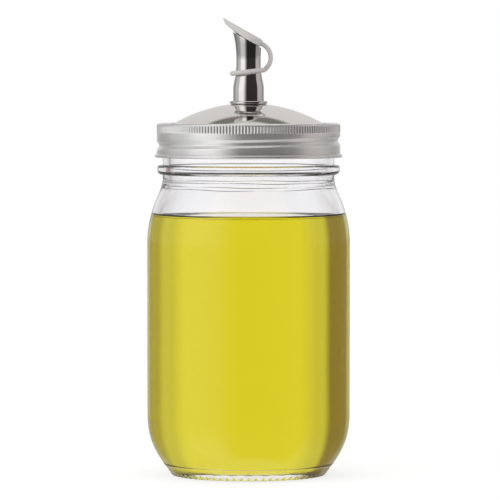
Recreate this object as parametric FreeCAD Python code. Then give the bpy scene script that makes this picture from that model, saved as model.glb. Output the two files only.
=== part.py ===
import FreeCAD, Part
import math
import os

# Glass oil bottle with a screwed pour-spout lid. Millimetres, +Z up.
# The origin is the centre of the jar's foot, on the surface it stands on.
# A pull is how far a curve keeps the direction of the line it leaves.

# Jar
jar_height = 168.2
body_radius = 49.1
wall = 3.3
floor_thickness = 5.5
floor_flat_radius = 33.0
floor_pull = 6.4
heel_height = 30.0
heel_foot_radius = 37.2
heel_slope = 35.0
heel_body_pull = 15.0
heel_foot_pull = 9.0
heel_inside_pull = 14.0
foot_round = 2.4
foot_edge = 0.8
foot_width = 2.6
push_up = 2.2
shoulder_height = 32.0
shoulder_body_pull = 18.0
shoulder_neck_pull = 7.0
neck_radius = 41.6
neck_wall = 3.5
rim_round = 0.7
finish_height = 17.9
transfer_bead_height = 4.8
transfer_bead_depth = 2.6
bead_to_shoulder = 1.5

# Screw thread of jar and band
thread_pitch = 5.08
thread_axial_gap = 0.54
jar_thread_depth = 1.4
jar_thread_half_width = 1.4
jar_thread_crest_half_width = 0.4
jar_thread_embed = 0.4
jar_thread_drop = 2.15
jar_thread_end_angle = 450.0
jar_thread_turns = 1.0
band_thread_turns = 0.85
band_thread_crest_half_width = 0.5

# Oil
headspace = 42.9
fill_gap = 0.1

# Lid insert
seat_gap = 0.15
gasket_thickness = 1.0
gasket_rim_inset = 0.4
gasket_overhang = 0.4
lid_sheet = 0.5
flange_overhang = 1.2
dome_mouth_inset = 1.1
dome_height = 10.3
dome_foot_round = 0.7

# Screw band
band_sheet = 0.5
band_crest_gap = 0.95
band_neck_gap = 0.65
band_lip_gap = 0.3
band_top_round = 1.3
band_to_bead = 3.6
band_curl_height = 1.7
band_curl_depth = 1.05
groove_overrun = 0.1

# Spout
spout_wall = 0.7
spout_flange_overhang = 1.7
spout_flange_thickness = 1.1
spout_base_radius = 7.5
spout_base_height = 5.3
spout_base_pull = 4.5
spout_waist_radius = 5.97
spout_waist_height = 19.3
spout_waist_lower_pull = 9.0
spout_waist_upper_pull = 8.0
spout_lip_radius = 9.0
spout_lip_margin = 2.2
spout_lip_pull = 4.7
spout_lip_slope = 28.0
spout_tail_radius = 6.3
spout_tail_gap = 0.15
spout_tail_length = 1.3
spout_collar_width = 1.9
spout_collar_thickness = 0.8
mouth_tilt = 31.0
mouth_low_height = 26.8

# Cap and tether
cap_tilt = 29.3
plug_gap = 0.3
plug_depth = 1.8
cap_seat_height = 0.95
cap_thickness = 2.7
cap_overhang = 1.13
cap_head_shift = 1.0
cap_tab_radius = 3.4
cap_tab_offset = 12.0
cap_tab_undercut = 4.3
strap_radius = 1.1
strap_root_height = 0.95
strap_root_length = 0.9
strap_embed = 2.4
strap_reach = 3.7
ring_section_radius = 1.05
ring_gap = 0.75
ring_offset = -0.2
ring_tilt = 6.4
ring_below_waist = 4.5

# Heights and radii that follow from the sizes above
transfer_bead_top = jar_height - finish_height
transfer_bead_bottom = transfer_bead_top - transfer_bead_height
shoulder_top = transfer_bead_bottom - bead_to_shoulder
shoulder_bottom = shoulder_top - shoulder_height
inner_radius = body_radius - wall
mouth_radius = neck_radius - neck_wall
oil_level = jar_height - headspace
gasket_bottom = jar_height + seat_gap
gasket_top = gasket_bottom + gasket_thickness
flange_top = gasket_top + lid_sheet
flange_radius = neck_radius + flange_overhang
dome_foot_radius = mouth_radius - dome_mouth_inset
dome_top = flange_top + dome_height
dome_sphere_radius = (dome_foot_radius ** 2 + dome_height ** 2) / (2 * dome_height)
dome_hole_radius = spout_tail_radius + spout_tail_gap
band_lip_bottom = flange_top + seat_gap
band_top = band_lip_bottom + band_sheet
band_bottom = transfer_bead_top + band_to_bead
band_lip_radius = dome_foot_radius + dome_foot_round + band_lip_gap
jar_thread_crest_radius = neck_radius + jar_thread_depth
band_inner_radius = jar_thread_crest_radius + band_crest_gap
band_radius = band_inner_radius + band_sheet
band_thread_crest_radius = neck_radius + band_neck_gap
spout_bottom = dome_top
spout_base_bottom = spout_bottom + spout_flange_thickness
spout_base_top = spout_base_bottom + spout_base_height
spout_waist = spout_base_bottom + spout_waist_height
mouth_low = spout_bottom + mouth_low_height
mouth_rise = (spout_waist_radius + spout_lip_radius) * math.tan(math.radians(mouth_tilt))
spout_lip = mouth_low + mouth_rise + spout_lip_margin
cap_head_radius = spout_waist_radius + cap_overhang
ring_radius = spout_waist_radius + ring_gap + ring_section_radius

# The two threads run half a pitch apart, with their middles one above the other.
# The flank of the band's thread clears the crest of the jar's by thread_axial_gap.
spare_turns = (jar_thread_turns - band_thread_turns) / 2
jar_thread_start_angle = jar_thread_end_angle - 360.0 * jar_thread_turns
jar_thread_start_height = jar_height - jar_thread_drop - thread_pitch * jar_thread_turns
band_thread_start_angle = jar_thread_start_angle + 360.0 * spare_turns
band_thread_start_height = jar_thread_start_height + thread_pitch * (spare_turns - 0.5)
band_thread_width_at_jar_crest = thread_pitch / 2 - jar_thread_crest_half_width - thread_axial_gap
band_thread_flank = ((band_thread_width_at_jar_crest - band_thread_crest_half_width)
                     / (jar_thread_crest_radius - band_thread_crest_radius))

ORIGIN = FreeCAD.Vector(0, 0, 0)
RIGHT = FreeCAD.Vector(1, 0, 0)
ACROSS = FreeCAD.Vector(0, 1, 0)
UP = FreeCAD.Vector(0, 0, 1)


def point(radius, height):
    return FreeCAD.Vector(radius, 0, height)


def line(start, end):
    return Part.LineSegment(start, end).toShape()


def polyline(points):
    return [line(start, end) for start, end in zip(points, points[1:])]


def closed_wire(points):
    return Part.Wire(polyline(points + points[:1]))


def arc(start, middle, end):
    return Part.Arc(start, middle, end).toShape()


def bezier(*poles):
    curve = Part.BezierCurve()
    curve.setPoles(list(poles))
    return curve.toShape()


def quarter_round(start, corner, end):
    """Quarter circle from start to end that rounds off their square corner."""
    centre = start + end - corner
    radius = (start - centre).Length
    middle = centre + (corner - centre).normalize() * radius
    return arc(start, middle, end)


def revolved(edges):
    return Part.Face(Part.Wire(edges)).revolve(ORIGIN, UP, 360)


def thread(section, turns, start_angle, start_height):
    """Right-hand thread: a section in radius and height, swept up a helix about Z."""
    outline = closed_wire([point(radius, height) for radius, height in section])
    helix = Part.Wire(Part.makeHelix(thread_pitch, thread_pitch * turns, section[0][0]))
    solid = helix.makePipeShell([outline], True, True)
    solid.rotate(ORIGIN, UP, start_angle)
    solid.translate(UP * start_height)
    return solid


def thread_section(root_radius, root_half_width, crest_radius, crest_half_width):
    return [
        (root_radius, -root_half_width),
        (crest_radius, -crest_half_width),
        (crest_radius, crest_half_width),
        (root_radius, root_half_width),
    ]


def jar_outside_edges():
    """Outline of the jar from the axis under the foot up the outside and over the rim."""
    slope = math.radians(heel_slope)
    along_heel = point(math.sin(slope), math.cos(slope))
    heel_corner = point(heel_foot_radius, 0)
    heel_start = heel_corner + along_heel * foot_round
    foot_outer = point(heel_foot_radius - foot_edge, 0)
    foot_inner = point(foot_outer.x - foot_width, 0)
    push_up_radius = (foot_inner.x ** 2 + push_up ** 2) / (2 * push_up)
    push_up_angle = math.asin(foot_inner.x / push_up_radius) / 2
    push_up_middle = point(push_up_radius * math.sin(push_up_angle),
                           push_up - push_up_radius * (1 - math.cos(push_up_angle)))
    bead_middle = point(neck_radius + transfer_bead_depth, (transfer_bead_bottom + transfer_bead_top) / 2)
    rim_start = jar_height - rim_round
    return [
        arc(point(0, push_up), push_up_middle, foot_inner),
        line(foot_inner, foot_outer),
        bezier(foot_outer, heel_corner, heel_start),
        bezier(heel_start, heel_start + along_heel * heel_foot_pull,
               point(body_radius, heel_height - heel_body_pull), point(body_radius, heel_height)),
        line(point(body_radius, heel_height), point(body_radius, shoulder_bottom)),
        bezier(point(body_radius, shoulder_bottom), point(body_radius, shoulder_bottom + shoulder_body_pull),
               point(neck_radius, shoulder_top - shoulder_neck_pull), point(neck_radius, shoulder_top)),
        line(point(neck_radius, shoulder_top), point(neck_radius, transfer_bead_bottom)),
        arc(point(neck_radius, transfer_bead_bottom), bead_middle, point(neck_radius, transfer_bead_top)),
        line(point(neck_radius, transfer_bead_top), point(neck_radius, rim_start)),
        quarter_round(point(neck_radius, rim_start), point(neck_radius, jar_height),
                      point(neck_radius - rim_round, jar_height)),
        line(point(neck_radius - rim_round, jar_height), point(mouth_radius + rim_round, jar_height)),
        quarter_round(point(mouth_radius + rim_round, jar_height), point(mouth_radius, jar_height),
                      point(mouth_radius, rim_start)),
    ]


def jar_inside_edges(inset):
    """Outline of the jar's cavity from the rim down to the axis, moved in by inset."""
    mouth = mouth_radius - inset
    side = inner_radius - inset
    floor = floor_thickness + inset
    flat = floor_flat_radius - inset
    return [
        line(point(mouth, jar_height - rim_round), point(mouth, shoulder_top)),
        bezier(point(mouth, shoulder_top), point(mouth, shoulder_top - shoulder_neck_pull),
               point(side, shoulder_bottom + shoulder_body_pull), point(side, shoulder_bottom)),
        line(point(side, shoulder_bottom), point(side, heel_height)),
        bezier(point(side, heel_height), point(side, heel_height - heel_inside_pull),
               point(flat + floor_pull, floor), point(flat, floor)),
        line(point(flat, floor), point(0, floor)),
    ]


def glass_jar():
    floor_centre = line(point(0, floor_thickness), point(0, push_up))
    body = revolved(jar_outside_edges() + jar_inside_edges(0) + [floor_centre])
    flank = (jar_thread_half_width - jar_thread_crest_half_width) / jar_thread_depth
    section = thread_section(neck_radius - jar_thread_embed, jar_thread_half_width + flank * jar_thread_embed,
                             jar_thread_crest_radius, jar_thread_crest_half_width)
    ridge = thread(section, jar_thread_turns, jar_thread_start_angle, jar_thread_start_height)
    return body.fuse(ridge)


def oil_fill():
    rim = jar_height - rim_round
    floor = floor_thickness + fill_gap
    closing = polyline([point(0, floor), point(0, rim), point(mouth_radius - fill_gap, rim)])
    cavity = revolved(jar_inside_edges(fill_gap) + closing)
    headspace_block = Part.makeCylinder(body_radius, jar_height, point(0, oil_level))
    return cavity.cut(headspace_block)


def lid_gasket():
    inner = mouth_radius + gasket_rim_inset
    outer = neck_radius + gasket_overhang
    outline = [
        point(inner, gasket_bottom),
        point(outer, gasket_bottom),
        point(outer, gasket_top),
        point(inner, gasket_top),
    ]
    return revolved(closed_wire(outline).Edges)


def dome_height_at(radius, depth):
    """Height at a radius of a face that lies depth under the dome's outer face."""
    centre_height = dome_top - dome_sphere_radius
    return centre_height + math.sqrt((dome_sphere_radius - depth) ** 2 - radius ** 2)


def dome_skin(start, end, depth):
    middle = (start + end) / 2
    return arc(point(start, dome_height_at(start, depth)), point(middle, dome_height_at(middle, depth)),
               point(end, dome_height_at(end, depth)))


def lid_dome():
    foot = dome_foot_radius - dome_foot_round
    inner_foot = foot - lid_sheet / 2
    bend = dome_foot_radius + dome_foot_round
    inner_bend = dome_foot_radius - lid_sheet / 2
    flange_bottom = flange_top - lid_sheet
    return revolved([
        dome_skin(dome_hole_radius, foot, 0),
        bezier(point(foot, dome_height_at(foot, 0)), point(dome_foot_radius, flange_top),
               point(bend, flange_top)),
        line(point(bend, flange_top), point(flange_radius, flange_top)),
        line(point(flange_radius, flange_top), point(flange_radius, flange_bottom)),
        line(point(flange_radius, flange_bottom), point(bend, flange_bottom)),
        bezier(point(bend, flange_bottom), point(inner_bend, flange_bottom),
               point(inner_foot, dome_height_at(inner_foot, lid_sheet))),
        dome_skin(inner_foot, dome_hole_radius, lid_sheet),
        line(point(dome_hole_radius, dome_height_at(dome_hole_radius, lid_sheet)),
             point(dome_hole_radius, dome_height_at(dome_hole_radius, 0))),
    ])


def band_thread(shift, overrun):
    """Rolled thread of the band, moved out by shift and run on through the sheet by overrun."""
    skin = band_inner_radius + shift + overrun
    crest = band_thread_crest_radius + shift
    skin_half_width = band_thread_crest_half_width + band_thread_flank * (skin - crest)
    section = thread_section(skin, skin_half_width, crest, band_thread_crest_half_width)
    return thread(section, band_thread_turns, band_thread_start_angle, band_thread_start_height)


def screw_band():
    curl_top = band_bottom + band_curl_height
    curl_middle = point(band_radius + band_curl_depth, band_bottom + band_curl_height / 2)
    inner_round = band_top_round - band_sheet
    sheet = revolved([
        line(point(band_lip_radius, band_top), point(band_radius - band_top_round, band_top)),
        quarter_round(point(band_radius - band_top_round, band_top), point(band_radius, band_top),
                      point(band_radius, band_top - band_top_round)),
        line(point(band_radius, band_top - band_top_round), point(band_radius, curl_top)),
        arc(point(band_radius, curl_top), curl_middle, point(band_radius, band_bottom)),
        line(point(band_radius, band_bottom), point(band_inner_radius, band_bottom)),
        line(point(band_inner_radius, band_bottom), point(band_inner_radius, band_lip_bottom - inner_round)),
        quarter_round(point(band_inner_radius, band_lip_bottom - inner_round),
                      point(band_inner_radius, band_lip_bottom),
                      point(band_inner_radius - inner_round, band_lip_bottom)),
        line(point(band_inner_radius - inner_round, band_lip_bottom),
             point(band_lip_radius, band_lip_bottom)),
        line(point(band_lip_radius, band_lip_bottom), point(band_lip_radius, band_top)),
    ])
    ridge = band_thread(0, band_sheet / 2)
    groove = band_thread(band_sheet, groove_overrun)
    return sheet.fuse(ridge).cut(groove)


def spout_side_edges(inset):
    """Side of the spout from its base over the waist to the lip, moved in by inset."""
    base = spout_base_radius - inset
    waist = spout_waist_radius - inset
    slope = math.radians(spout_lip_slope)
    lip_end = point(spout_lip_radius - inset, spout_lip)
    return [
        line(point(base, spout_base_bottom), point(base, spout_base_top)),
        bezier(point(base, spout_base_top), point(base, spout_base_top + spout_base_pull),
               point(waist, spout_waist - spout_waist_lower_pull), point(waist, spout_waist)),
        bezier(point(waist, spout_waist), point(waist, spout_waist + spout_waist_upper_pull),
               lip_end - point(math.sin(slope), math.cos(slope)) * spout_lip_pull, lip_end),
    ]


def slanted_frame(tilt):
    """Frame through the low end of the mouth, centred on the axis: X down the slant, Z out of the mouth."""
    centre_height = mouth_low + spout_waist_radius * math.tan(math.radians(tilt))
    return FreeCAD.Placement(point(0, centre_height), FreeCAD.Rotation(ACROSS, tilt))


def above_slant(tilt, height):
    """Everything above a slanted plane, moved out of the mouth by height."""
    reach = 2 * spout_lip_radius + spout_lip
    block = Part.makeBox(2 * reach, 2 * reach, reach, FreeCAD.Vector(-reach, -reach, height))
    block.Placement = slanted_frame(tilt).multiply(block.Placement)
    return block


def pour_spout():
    bore = spout_tail_radius - spout_wall
    collar_radius = spout_tail_radius + spout_collar_width
    collar_top = dome_height_at(collar_radius, lid_sheet) - spout_tail_gap
    collar_bottom = collar_top - spout_collar_thickness
    tail_bottom = collar_bottom - spout_tail_length
    flange_radius_middle = spout_base_radius + spout_flange_overhang
    flange_flat_radius = flange_radius_middle - spout_flange_thickness / 2
    flange_middle = spout_bottom + spout_flange_thickness / 2
    tail = polyline([
        point(bore, tail_bottom),
        point(spout_tail_radius, tail_bottom),
        point(spout_tail_radius, collar_bottom),
        point(collar_radius, collar_bottom),
        point(collar_radius, collar_top),
        point(spout_tail_radius, collar_top),
        point(spout_tail_radius, spout_bottom),
        point(flange_flat_radius, spout_bottom),
    ])
    flange = [
        arc(point(flange_flat_radius, spout_bottom), point(flange_radius_middle, flange_middle),
            point(flange_flat_radius, spout_base_bottom)),
        line(point(flange_flat_radius, spout_base_bottom), point(spout_base_radius, spout_base_bottom)),
    ]
    lip = line(point(spout_lip_radius, spout_lip), point(spout_lip_radius - spout_wall, spout_lip))
    base_inside = point(spout_base_radius - spout_wall, spout_base_bottom)
    bore_inside = polyline([base_inside, point(bore, spout_bottom), point(bore, tail_bottom)])
    inside = list(reversed(spout_side_edges(spout_wall))) + bore_inside
    body = revolved(tail + flange + spout_side_edges(0) + [lip] + inside)
    return body.cut(above_slant(mouth_tilt, 0))


def cap_outline():
    """Egg-shaped outline of the cap in its slanted frame: a round head and a narrower tab."""
    lean = (cap_head_radius - cap_tab_radius) / cap_tab_offset
    rise = math.sqrt(1 - lean ** 2)
    near = FreeCAD.Vector(-lean, -rise, 0)
    far = FreeCAD.Vector(-lean, rise, 0)
    head = RIGHT * -cap_head_shift
    tab = head - RIGHT * cap_tab_offset
    return Part.Wire([
        arc(head + far * cap_head_radius, head + RIGHT * cap_head_radius, head + near * cap_head_radius),
        line(head + near * cap_head_radius, tab + near * cap_tab_radius),
        arc(tab + near * cap_tab_radius, tab - RIGHT * cap_tab_radius, tab + far * cap_tab_radius),
        line(tab + far * cap_tab_radius, head + far * cap_head_radius),
    ])


def strap_root():
    """Where the strap leaves the cap, in the cap's slanted frame."""
    cap_back = cap_head_radius - cap_head_shift
    return point(cap_back + strap_root_length, cap_seat_height + strap_root_height)


def cap_slab():
    """Flat top of the cap in its slanted frame, with its tab cut back underneath."""
    slab = Part.Face(cap_outline()).extrude(UP * cap_thickness)
    slab.translate(UP * cap_seat_height)
    tip = -cap_head_shift - cap_tab_offset - cap_tab_radius
    undercut = Part.Face(closed_wire([
        FreeCAD.Vector(tip, -cap_head_radius, cap_seat_height + cap_thickness),
        FreeCAD.Vector(tip, -cap_head_radius, cap_seat_height),
        FreeCAD.Vector(tip + cap_tab_undercut, -cap_head_radius, cap_seat_height),
    ]))
    return slab.cut(undercut.extrude(ACROSS * (2 * cap_head_radius)))


def cap_plug():
    """Plug that follows the bore of the mouth with plug_gap all round."""
    side = spout_side_edges(spout_wall + plug_gap)[1:]
    low = side[0].Vertexes[0].Point
    high = side[1].Vertexes[-1].Point
    core = revolved(side + polyline([high, point(0, high.z), point(0, low.z), low]))
    below_cap = core.cut(above_slant(cap_tilt, cap_seat_height))
    return below_cap.common(above_slant(cap_tilt, -plug_depth))


def spout_cap():
    stub_length = strap_root_length + strap_embed
    stub = Part.makeCylinder(strap_radius, stub_length, strap_root() - RIGHT * stub_length, RIGHT)
    top = cap_slab().fuse(stub)
    top.Placement = slanted_frame(cap_tilt).multiply(top.Placement)
    return top.fuse(cap_plug())


def strap_bend(start, heading, centre, angle):
    """Round strap from start, bent about an axis along Y through centre."""
    section = Part.Face(Part.Wire(Part.makeCircle(strap_radius, start, heading)))
    return section.revolve(centre, ACROSS, angle)


def cap_tether():
    """Loose ring round the spout's waist, and the strap from it up to the cap."""
    frame = slanted_frame(cap_tilt)
    start = frame.multVec(strap_root())
    heading = frame.Rotation.multVec(RIGHT)
    inward = frame.Rotation.multVec(-UP)
    upper_radius = strap_reach / (1 - math.sin(math.radians(cap_tilt)))
    upper_centre = start + inward * upper_radius
    outermost = upper_centre + RIGHT * upper_radius
    ring_place = FreeCAD.Placement(point(ring_offset, spout_waist - ring_below_waist),
                                   FreeCAD.Rotation(ACROSS, -ring_tilt))
    ring_end = ring_place.multVec(RIGHT * ring_radius)
    across = outermost.x - ring_end.x
    down = outermost.z - ring_end.z
    lower_radius = (across ** 2 + down ** 2) / (2 * across)
    lower_centre = outermost - RIGHT * lower_radius
    lower_angle = math.degrees(math.atan2(down, ring_end.x - lower_centre.x))
    upper = strap_bend(start, heading, upper_centre, 90 - cap_tilt)
    lower = strap_bend(outermost, -UP, lower_centre, lower_angle)
    ring = Part.makeTorus(ring_radius, ring_section_radius)
    ring.Placement = ring_place
    return upper.fuse([lower, ring])


PIECES = [glass_jar, oil_fill, lid_gasket, lid_dome, screw_band, pour_spout, spout_cap, cap_tether]


def main():
    os.makedirs("parts", exist_ok=True)
    for piece in PIECES:
        shape = piece().removeSplitter()
        shape.exportStep(f"parts/{piece.__name__}.step")
        print(piece.__name__, "solids", len(shape.Solids), "volume", round(shape.Volume, 1))


main()
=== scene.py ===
import logging
import math
from dataclasses import dataclass
from enum import Enum
from typing import Callable

import bmesh
import bpy
import numpy as np
from mathutils import Matrix, Vector


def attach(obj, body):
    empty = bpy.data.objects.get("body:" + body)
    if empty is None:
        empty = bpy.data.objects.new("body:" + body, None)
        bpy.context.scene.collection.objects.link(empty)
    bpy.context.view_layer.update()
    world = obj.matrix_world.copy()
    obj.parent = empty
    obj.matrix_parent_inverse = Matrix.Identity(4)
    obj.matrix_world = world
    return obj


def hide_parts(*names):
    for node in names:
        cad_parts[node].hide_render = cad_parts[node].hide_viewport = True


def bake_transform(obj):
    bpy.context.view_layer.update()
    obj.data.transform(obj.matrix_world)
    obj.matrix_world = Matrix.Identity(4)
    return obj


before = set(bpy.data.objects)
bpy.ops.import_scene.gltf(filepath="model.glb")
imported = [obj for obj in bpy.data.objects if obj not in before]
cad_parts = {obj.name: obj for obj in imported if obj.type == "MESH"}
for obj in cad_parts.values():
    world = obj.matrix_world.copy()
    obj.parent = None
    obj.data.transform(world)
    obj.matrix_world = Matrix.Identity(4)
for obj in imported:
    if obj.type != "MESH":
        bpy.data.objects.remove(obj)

# Lengths of the sub-assemblies are millimetres, in the frame of the solids, and become metres in the meshes.
# Finishes and the studio use metres, and the camera's sensor and lens millimetres.
# A pull is how far a curve keeps the direction of the line it leaves.

MM = 0.001
LOG = logging.getLogger("oil_bottle")

# Pitch of the screw threads of jar and band, in millimetres.
THREAD_PITCH = 5.08

# Points of a mesh that lie closer than this, in metres, become one.
MERGE_DISTANCE = 2e-6

# Points round a plain turned piece.
ROUND_STEPS = 256

# Distance in millimetres within which a point counts as lying on a radius.
SLACK = 0.01

# A face looks inward or outward where the outward part of its normal, times its radius in millimetres,
# passes the first limit, and up or down where the upward part passes the second.
SIDE_LIMIT = 1.0
LEVEL_LIMIT = 0.9

Point = tuple[float, float]
Outline = list[Point]
Relief = Callable[[np.ndarray, np.ndarray, np.ndarray], tuple[np.ndarray, np.ndarray]]
Colour = tuple[float, float, float]
Stops = list[tuple[float, Colour]]
Socket = bpy.types.NodeSocket


class Body(Enum):
    """Rigid bodies of the frame that pieces ride on."""

    JAR = "jar"
    LID = "lid"
    BAND = "band"
    CAP = "cap"


class Slot(Enum):
    """Material slots of the record."""

    GLASS = "jar_glass"
    OIL = "edible_oil"
    POLISHED = "polished_steel"
    SATIN = "satin_steel"
    SILICONE = "silicone"


# Outlines


def straight(start: Point, end: Point, steps: int = 1) -> Outline:
    """Points on a straight run.

    Args:
        start: First point, as radius and height.
        end: Last point.
        steps: Number of equal parts.

    Returns:
        The points, both ends included.
    """
    parts = [step / steps for step in range(steps + 1)]
    return [(start[0] + (end[0] - start[0]) * part, start[1] + (end[1] - start[1]) * part) for part in parts]


def arc(centre: Point, radius: float, start: float, end: float, steps: int) -> Outline:
    """Points on a circular arc.

    Args:
        centre: Middle of the circle.
        radius: Its radius.
        start: First angle in degrees, from the direction of growing radius towards growing height.
        end: Last angle.
        steps: Number of equal parts.

    Returns:
        The points, both ends included.
    """
    angles = [math.radians(start + (end - start) * step / steps) for step in range(steps + 1)]
    return [(centre[0] + radius * math.cos(angle), centre[1] + radius * math.sin(angle)) for angle in angles]


def bezier(start: Point, leave: Point, arrive: Point, end: Point, steps: int) -> Outline:
    """Points on a cubic curve.

    Args:
        start: First point.
        leave: Point that the curve sets out for.
        arrive: Point that the curve comes in from.
        end: Last point.
        steps: Number of parts.

    Returns:
        The points, both ends included.
    """
    points = []
    poles = (start, leave, arrive, end)
    for step in range(steps + 1):
        part = step / steps
        rest = 1 - part
        shares = (rest ** 3, 3 * rest ** 2 * part, 3 * rest * part ** 2, part ** 3)
        points.append((sum(share * pole[0] for share, pole in zip(shares, poles)),
                       sum(share * pole[1] for share, pole in zip(shares, poles))))
    return points


def joined(*runs: Outline) -> Outline:
    """One outline from several runs.

    Args:
        runs: Runs that each start where the last one ends.

    Returns:
        The points of all runs, with each shared point once.
    """
    outline = list(runs[0])
    for run in runs[1:]:
        outline.extend(run[1:])
    return outline


def smooth_step(value: np.ndarray, low: float, high: float) -> np.ndarray:
    """Share from 0 at low to 1 at high, with level ends; low may be the larger number."""
    part = np.clip((value - low) / (high - low), 0.0, 1.0)
    return part * part * (3 - 2 * part)


def refined(outline: Outline, low: float, high: float, parts: int) -> Outline:
    """Outline with more points where it lies between two heights.

    Args:
        outline: Points to start from.
        low: Lowest height that gets more points.
        high: Highest height that gets more points.
        parts: Parts that each run there is divided into.

    Returns:
        The old points and the new ones between them.
    """
    points = [outline[0]]
    for start, end in zip(outline, outline[1:]):
        inside = low < min(start[1], end[1]) and max(start[1], end[1]) < high
        points.extend(straight(start, end, parts if inside else 1)[1:])
    return points


# Meshes and pieces


def finished_mesh(name: str, points: np.ndarray, faces: list[tuple[int, ...]],
                  sharp: float) -> bpy.types.Mesh:
    """Mesh with doubled points merged, normals outward and soft shading.

    Args:
        name: Name of the mesh and of its piece.
        points: Places in metres, one row each.
        faces: Point numbers of each face.
        sharp: Angle in degrees above which an edge stays sharp.

    Returns:
        The mesh.
    """
    mesh = bpy.data.meshes.new(name)
    mesh.from_pydata(points.tolist(), [], faces)
    work = bmesh.new()
    work.from_mesh(mesh)
    bmesh.ops.remove_doubles(work, verts=work.verts, dist=MERGE_DISTANCE)
    bmesh.ops.recalc_face_normals(work, faces=work.faces)
    work.to_mesh(mesh)
    work.free()
    mesh.shade_smooth()
    mesh.set_sharp_from_angle(angle=math.radians(sharp))
    return mesh


def ring_faces(rows: int, steps: int, closed: bool) -> list[tuple[int, ...]]:
    """Faces between rows of points that each run once round.

    Args:
        rows: Number of rows.
        steps: Points in each row.
        closed: Whether the last row joins the first.

    Returns:
        Four point numbers for each face.
    """
    faces = []
    for row in range(rows if closed else rows - 1):
        first = row * steps
        second = (row + 1) % rows * steps
        for step in range(steps):
            side = (step + 1) % steps
            faces.append((first + step, first + side, second + side, second + step))
    return faces


def end_faces(rows: int, steps: int) -> list[tuple[int, ...]]:
    """Faces that close the first and the last of some rows of points."""
    return [tuple(range(first, first + steps)) for first in (0, (rows - 1) * steps)]


def round_angles(steps: int) -> np.ndarray:
    """Angles of equal steps once round, in radians from 0."""
    return np.linspace(0, 2 * np.pi, steps, endpoint=False)


def outline_grid(outline: Outline, steps: int) -> np.ndarray:
    """Radius and height of an outline's points, two tables of rows by steps round."""
    return np.repeat(np.array(outline).T[:, :, None], steps, axis=2)


def turned_grid(name: str, grid: np.ndarray, closed: bool, sharp: float) -> bpy.types.Mesh:
    """Mesh about the Z axis from a radius and a height for each row and step round.

    Args:
        name: Name of the mesh.
        grid: Radius and height of each point, two tables of rows by steps.
        closed: Whether the last row joins the first.
        sharp: Angle in degrees above which an edge stays sharp.

    Returns:
        The mesh.
    """
    radius, height = grid
    rows, steps = radius.shape
    angle = round_angles(steps)[None, :]
    points = np.stack((radius * np.cos(angle), radius * np.sin(angle), height), axis=-1)
    return finished_mesh(name, points.reshape(-1, 3) * MM, ring_faces(rows, steps, closed), sharp)


def turned_mesh(name: str, outline: Outline, steps: int, closed: bool, sharp: float,
                relief: Relief | None = None) -> bpy.types.Mesh:
    """Mesh of an outline turned about the Z axis, with an optional relief on it.

    Args:
        name: Name of the mesh.
        outline: Radius and height of each row.
        steps: Points round the axis.
        closed: Whether the outline joins up.
        sharp: Angle in degrees above which an edge stays sharp.
        relief: Gives the radius and height of each point from its angle, radius and height.

    Returns:
        The mesh.
    """
    grid = outline_grid(outline, steps)
    if relief is not None:
        angle = np.broadcast_to(round_angles(steps), grid[0].shape)
        grid = np.stack(relief(angle, *grid))
    return turned_grid(name, grid, closed, sharp)


def tube_mesh(name: str, path: np.ndarray, across: Vector, radius: float, steps: int,
              sharp: float) -> bpy.types.Mesh:
    """Round tube along a path that lies in one plane, with flat ends.

    Args:
        name: Name of the mesh.
        path: Points of the middle line in millimetres.
        across: Direction square to the path's plane.
        radius: Radius of the tube in millimetres.
        steps: Points round the tube.
        sharp: Angle in degrees above which an edge stays sharp.

    Returns:
        The mesh.
    """
    along = np.gradient(path, axis=0)
    along /= np.linalg.norm(along, axis=1)[:, None]
    side = np.cross(along, np.array(across))
    turn = round_angles(steps)
    points = (path[:, None, :] + radius * np.cos(turn)[None, :, None] * side[:, None, :]
              + radius * np.sin(turn)[None, :, None] * np.array(across)[None, None, :])
    faces = ring_faces(len(path), steps, False) + end_faces(len(path), steps)
    return finished_mesh(name, points.reshape(-1, 3) * MM, faces, sharp)


def face_sides(mesh: bpy.types.Mesh) -> tuple[np.ndarray, np.ndarray, np.ndarray]:
    """Where the faces of a turned mesh lie and which way they look.

    Args:
        mesh: Mesh about the Z axis.

    Returns:
        For each face its height in millimetres, the upward part of its normal, and the outward part
        times its radius.
    """
    centres = np.zeros(len(mesh.polygons) * 3)
    normals = np.zeros(len(mesh.polygons) * 3)
    mesh.polygons.foreach_get("center", centres)
    mesh.polygons.foreach_get("normal", normals)
    centres = centres.reshape(-1, 3) / MM
    normals = normals.reshape(-1, 3)
    return centres[:, 2], normals[:, 2], np.sum(centres[:, :2] * normals[:, :2], axis=1)


def mark_faces(mesh: bpy.types.Mesh, chosen: np.ndarray, material: bpy.types.Material) -> None:
    """Gives the chosen faces of a piece a second material."""
    mesh.materials.append(material)
    mesh.polygons.foreach_set("material_index", chosen.astype(np.int32))


def linked(name: str, data: bpy.types.ID) -> bpy.types.Object:
    """New object of the scene.

    Args:
        name: Name of the object.
        data: Its mesh, light or camera.

    Returns:
        The object.
    """
    item = bpy.data.objects.new(name, data)
    bpy.context.scene.collection.objects.link(item)
    return item


def dressed(mesh: bpy.types.Mesh, material: bpy.types.Material) -> bpy.types.Object:
    """Puts a mesh into the scene as a piece with its finish.

    Args:
        mesh: Finished mesh in the frame of the solids.
        material: Finish of the piece.

    Returns:
        The piece.
    """
    piece = linked(mesh.name, mesh)
    mesh.materials.append(material)
    return piece


def add_piece(mesh: bpy.types.Mesh, body: Body, slot: Slot, material: bpy.types.Material,
              *nodes: str) -> None:
    """Puts a mesh into the scene as a piece that rides on a body.

    Args:
        mesh: Finished mesh in the frame of the solids.
        body: Body that it moves with.
        slot: Material slot of the record; not used.
        material: Finish of the piece.
        nodes: Solids that the piece stands for.
    """
    piece = dressed(mesh, material)
    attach(piece, body.value)
    if nodes:
        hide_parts(*nodes)
    LOG.info("%s rides on %s, %d faces", piece.name, body.value, len(mesh.polygons))


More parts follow.
